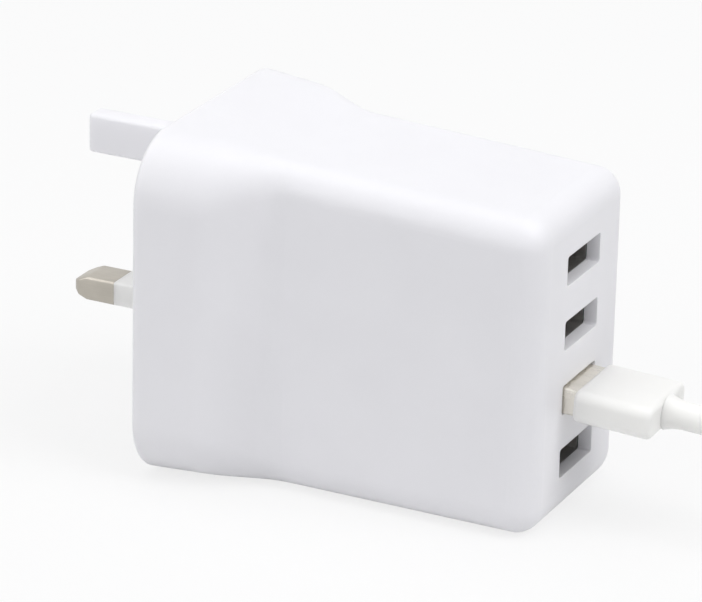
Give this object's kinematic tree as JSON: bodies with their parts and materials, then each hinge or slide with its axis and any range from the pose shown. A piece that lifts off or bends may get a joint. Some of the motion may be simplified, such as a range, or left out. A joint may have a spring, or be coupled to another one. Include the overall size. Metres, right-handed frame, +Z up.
{
  "type": "plug-in usb wall charger",
  "caption": "White plug-in wall charger with mains pins on a wide waisted base, a column of USB outlets on the other end and a white lead plugged into one of them.",
  "frame": {"origin": "on the surface it stands on, under the middle of the charger from earth pin tip to outlet end", "axes": "+X from the mains pins to the USB outlets, +Y across the body, +Z up with the earth pin on top"},
  "size_m": [0.1983, 0.0673, 0.0584],
  "materials": {
    "housing_plastic": "satin moulded white",
    "cover_plastic": "satin moulded white",
    "earth_pin_plastic": "satin moulded white",
    "pin_metal": "nickel plate on brass",
    "sleeve_plastic": "moulded white",
    "line_insulation": "soft extruded",
    "neutral_insulation": "soft extruded",
    "circuit_board": "coated laminate",
    "socket_steel": "tinned sheet",
    "socket_insulator": "moulded black",
    "contact_metal": "thin gold plate",
    "ferrite": "sintered",
    "bobbin_plastic": "moulded black",
    "winding_tape": "polyester tape",
    "copper_wire": "enamelled copper",
    "capacitor_sleeve": "shrink sleeve",
    "film_case": "moulded case",
    "disc_coating": "dipped coating",
    "epoxy_case": "moulded epoxy",
    "sink_aluminium": "cut plate",
    "plug_steel": "nickel-plated sheet",
    "plug_insulator": "moulded white",
    "lead_plastic": "moulded white",
    "cord_jacket": "soft satin white",
    "tie_plastic": "soft moulded"
  },
  "bodies": {
    "root": {"main_housing": "housing_plastic", "plug_cover": "cover_plastic", "earth_pin": "earth_pin_plastic", "line_pin": "pin_metal", "neutral_pin": "pin_metal", "line_pin_sleeve": "sleeve_plastic", "neutral_pin_sleeve": "sleeve_plastic", "line_wire": "line_insulation", "neutral_wire": "neutral_insulation", "main_board": "circuit_board", "usb_shell_1": "socket_steel", "usb_shell_2": "socket_steel", "usb_shell_3": "socket_steel", "usb_shell_4": "socket_steel", "usb_tongue_1": "socket_insulator", "usb_tongue_2": "socket_insulator", "usb_tongue_3": "socket_insulator", "usb_tongue_4": "socket_insulator", "usb_contacts_1": "contact_metal", "usb_contacts_2": "contact_metal", "usb_contacts_3": "contact_metal", "usb_contacts_4": "contact_metal", "lead_plug_contacts": "contact_metal", "transformer_core": "ferrite", "choke_core": "ferrite", "transformer_bobbin": "bobbin_plastic", "transformer_winding": "winding_tape", "choke_winding": "copper_wire", "bulk_capacitor_1": "capacitor_sleeve", "bulk_capacitor_2": "capacitor_sleeve", "output_capacitor_1": "capacitor_sleeve", "output_capacitor_2": "capacitor_sleeve", "filter_capacitor": "film_case", "safety_capacitor": "disc_coating", "varistor": "disc_coating", "bridge_rectifier": "epoxy_case", "switching_chip": "epoxy_case", "optocoupler": "epoxy_case", "output_rectifier": "epoxy_case", "fuse": "epoxy_case", "heat_sink": "sink_aluminium", "lead_plug_shell": "plug_steel", "small_plug_shell": "plug_steel", "lead_plug_block": "plug_insulator", "lead_plug_body": "lead_plastic", "lead_strain_relief": "lead_plastic", "small_strain_relief": "lead_plastic", "small_plug_body": "lead_plastic", "lead_cord": "cord_jacket", "lead_coil": "cord_jacket", "lead_tie": "tie_plastic"}
  },
  "joints": []
}
